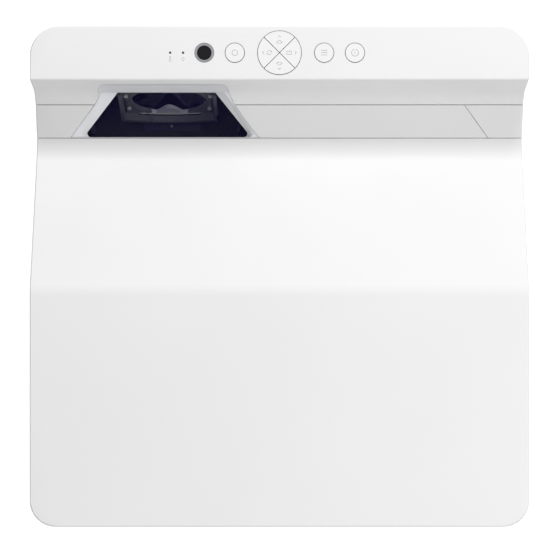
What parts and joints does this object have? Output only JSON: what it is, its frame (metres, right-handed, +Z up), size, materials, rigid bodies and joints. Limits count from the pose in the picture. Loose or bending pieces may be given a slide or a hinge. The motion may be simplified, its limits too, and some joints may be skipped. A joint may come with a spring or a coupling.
{
  "type": "ultra short throw projector",
  "caption": "White ultra-short-throw projector with a valley window over a curved mirror, a key row on its ridge, side grilles and screw feet.",
  "frame": {"origin": "middle of the outline on the ground, under the foot pads", "axes": "+X along the key row to the right seen from above with the ridge at the top, +Y away from the screen, +Z up"},
  "size_m": [0.384, 0.385, 0.1304],
  "materials": {
    "case_plastic": "white satin moulded plastic",
    "key_plastic": "white satin moulded plastic",
    "bezel_plastic": "pale satin moulded plastic",
    "grille_plastic": "pale moulded plastic",
    "window_glass": "coated tinted glass",
    "mirror": "curved coated mirror",
    "dark_plastic": "black moulded plastic",
    "grey_plastic": "dark grey moulded plastic",
    "gloss_black": "black gloss moulded plastic with a grey rim",
    "clear_plastic": "milky clear plastic",
    "jack_plastic": "green moulded plastic",
    "socket_blue": "blue moulded plastic",
    "panel_metal": "silver painted sheet",
    "plated_steel": "plated sheet steel",
    "screw_steel": "plated steel",
    "cast_metal": "cast",
    "fin_metal": "extruded fins",
    "lens_glass": "coated glass",
    "board": "green solder mask",
    "board_tan": "tan laminate with parts",
    "phosphor": "yellow coated disc",
    "foot_rubber": "black rubber",
    "pinion_plastic": "natural moulded plastic"
  },
  "bodies": {
    "case": {"bottom_cover": "case_plastic", "top_cover": "case_plastic", "control_cover": "case_plastic", "cheek_left": "case_plastic", "cheek_right": "case_plastic", "window_panel": "case_plastic", "window_bezel": "bezel_plastic", "window_glass": "window_glass", "exhaust_grille": "grille_plastic", "intake_grille": "grille_plastic", "io_panel": "panel_metal", "video_sockets": "plated_steel", "usb_socket": "plated_steel", "network_socket": "dark_plastic", "computer_socket": "socket_blue", "audio_jacks": "jack_plastic", "mains_inlet": "dark_plastic", "receiver_window": "gloss_black", "light_pipes": "clear_plastic", "loudspeakers": "dark_plastic", "keypad_board": "board", "key_switches": "dark_plastic", "mirror": "mirror", "mirror_holder": "grey_plastic", "mirror_screws": "screw_steel", "mirror_chamber": "dark_plastic", "lens_barrel": "grey_plastic", "front_lens": "lens_glass", "focus_motor": "cast_metal", "optical_engine": "cast_metal", "imaging_board": "board", "imaging_heatsink": "fin_metal", "laser_module": "cast_metal", "laser_heatsink": "fin_metal", "wheel_motor": "cast_metal", "fan_frames": "dark_plastic", "power_supply": "board_tan", "main_board": "board", "case_screws": "screw_steel"},
    "key_up": {"key_up": "key_plastic"},
    "key_down": {"key_down": "key_plastic"},
    "key_left": {"key_left": "key_plastic"},
    "key_right": {"key_right": "key_plastic"},
    "key_info": {"key_info": "key_plastic"},
    "key_menu": {"key_menu": "key_plastic"},
    "key_power": {"key_power": "key_plastic"},
    "focus_ring": {"focus_ring": "dark_plastic"},
    "focus_pinion": {"focus_pinion": "pinion_plastic"},
    "phosphor_wheel": {"phosphor_wheel": "phosphor"},
    "rotor_1": {"rotor_1": "dark_plastic"},
    "rotor_2": {"rotor_2": "dark_plastic"},
    "rotor_3": {"rotor_3": "dark_plastic"},
    "foot_pad_1": {"foot_pad_1": "foot_rubber"},
    "foot_pad_2": {"foot_pad_2": "foot_rubber"},
    "foot_pad_3": {"foot_pad_3": "foot_rubber"},
    "foot_pad_4": {"foot_pad_4": "foot_rubber"},
    "foot_screw_1": {"foot_screw_1": "grey_plastic"},
    "foot_screw_2": {"foot_screw_2": "grey_plastic"},
    "foot_screw_3": {"foot_screw_3": "grey_plastic"},
    "foot_screw_4": {"foot_screw_4": "grey_plastic"}
  },
  "joints": [
    {"name": "press_up", "type": "slide", "parent": "case", "child": "key_up", "axis": [0, 0, -1], "range_m": [0, 0.0007], "stiffness_N_per_m": 1500, "springref_m": -0.0004},
    {"name": "press_down", "type": "slide", "parent": "case", "child": "key_down", "axis": [0, 0, -1], "range_m": [0, 0.0007], "stiffness_N_per_m": 1500, "springref_m": -0.0004},
    {"name": "press_left", "type": "slide", "parent": "case", "child": "key_left", "axis": [0, 0, -1], "range_m": [0, 0.0007], "stiffness_N_per_m": 1500, "springref_m": -0.0004},
    {"name": "press_right", "type": "slide", "parent": "case", "child": "key_right", "axis": [0, 0, -1], "range_m": [0, 0.0007], "stiffness_N_per_m": 1500, "springref_m": -0.0004},
    {"name": "press_info", "type": "slide", "parent": "case", "child": "key_info", "axis": [0, 0, -1], "range_m": [0, 0.0007], "stiffness_N_per_m": 1500, "springref_m": -0.0004},
    {"name": "press_menu", "type": "slide", "parent": "case", "child": "key_menu", "axis": [0, 0, -1], "range_m": [0, 0.0007], "stiffness_N_per_m": 1500, "springref_m": -0.0004},
    {"name": "press_power", "type": "slide", "parent": "case", "child": "key_power", "axis": [0, 0, -1], "range_m": [0, 0.0007], "stiffness_N_per_m": 1500, "springref_m": -0.0004},
    {"name": "foot_extend_1", "type": "slide", "parent": "case", "child": "foot_pad_1", "axis": [0, 0, -1], "range_m": [0, 0.009]},
    {"name": "foot_turn_1", "type": "hinge", "parent": "foot_pad_1", "child": "foot_screw_1", "pos_m": [-0.15, -0.15, 0.0065], "axis": [0, 0, -1], "range_deg": [0, 2160]},
    {"name": "foot_extend_2", "type": "slide", "parent": "case", "child": "foot_pad_2", "axis": [0, 0, -1], "range_m": [0, 0.009]},
    {"name": "foot_turn_2", "type": "hinge", "parent": "foot_pad_2", "child": "foot_screw_2", "pos_m": [-0.15, 0.15, 0.0065], "axis": [0, 0, -1], "range_deg": [0, 2160]},
    {"name": "foot_extend_3", "type": "slide", "parent": "case", "child": "foot_pad_3", "axis": [0, 0, -1], "range_m": [0, 0.009]},
    {"name": "foot_turn_3", "type": "hinge", "parent": "foot_pad_3", "child": "foot_screw_3", "pos_m": [0.15, -0.15, 0.0065], "axis": [0, 0, -1], "range_deg": [0, 2160]},
    {"name": "foot_extend_4", "type": "slide", "parent": "case", "child": "foot_pad_4", "axis": [0, 0, -1], "range_m": [0, 0.009]},
    {"name": "foot_turn_4", "type": "hinge", "parent": "foot_pad_4", "child": "foot_screw_4", "pos_m": [0.15, 0.15, 0.0065], "axis": [0, 0, -1], "range_deg": [0, 2160]},
    {"name": "fan_spin_1", "type": "hinge", "parent": "case", "child": "rotor_1", "pos_m": [-0.177, -0.125, 0.078], "axis": [1, 0, 0], "continuous": true},
    {"name": "fan_spin_2", "type": "hinge", "parent": "case", "child": "rotor_2", "pos_m": [-0.177, -0.051, 0.078], "axis": [1, 0, 0], "continuous": true},
    {"name": "fan_spin_3", "type": "hinge", "parent": "case", "child": "rotor_3", "pos_m": [0.177, -0.088, 0.078], "axis": [1, 0, 0], "continuous": true},
    {"name": "wheel_spin", "type": "hinge", "parent": "case", "child": "phosphor_wheel", "pos_m": [0.022, -0.085, 0.08], "axis": [1, 0, 0], "continuous": true},
    {"name": "focus_turn", "type": "hinge", "parent": "case", "child": "focus_ring", "pos_m": [-0.089, 0.018, 0.06], "axis": [0, 1, 0], "range_deg": [-30, 30]},
    {"name": "focus_drive", "type": "hinge", "parent": "case", "child": "focus_pinion", "pos_m": [-0.044, 0.018, 0.06], "axis": [0, 1, 0], "range_deg": [-120, 120]}
  ],
  "couplings": [
    {"joint": "foot_turn_1", "follows": "foot_extend_1", "rad_per_m": 4188.8},
    {"joint": "foot_turn_2", "follows": "foot_extend_2", "rad_per_m": 4188.8},
    {"joint": "foot_turn_3", "follows": "foot_extend_3", "rad_per_m": 4188.8},
    {"joint": "foot_turn_4", "follows": "foot_extend_4", "rad_per_m": 4188.8},
    {"joint": "focus_drive", "follows": "focus_turn", "ratio": -4}
  ]
}
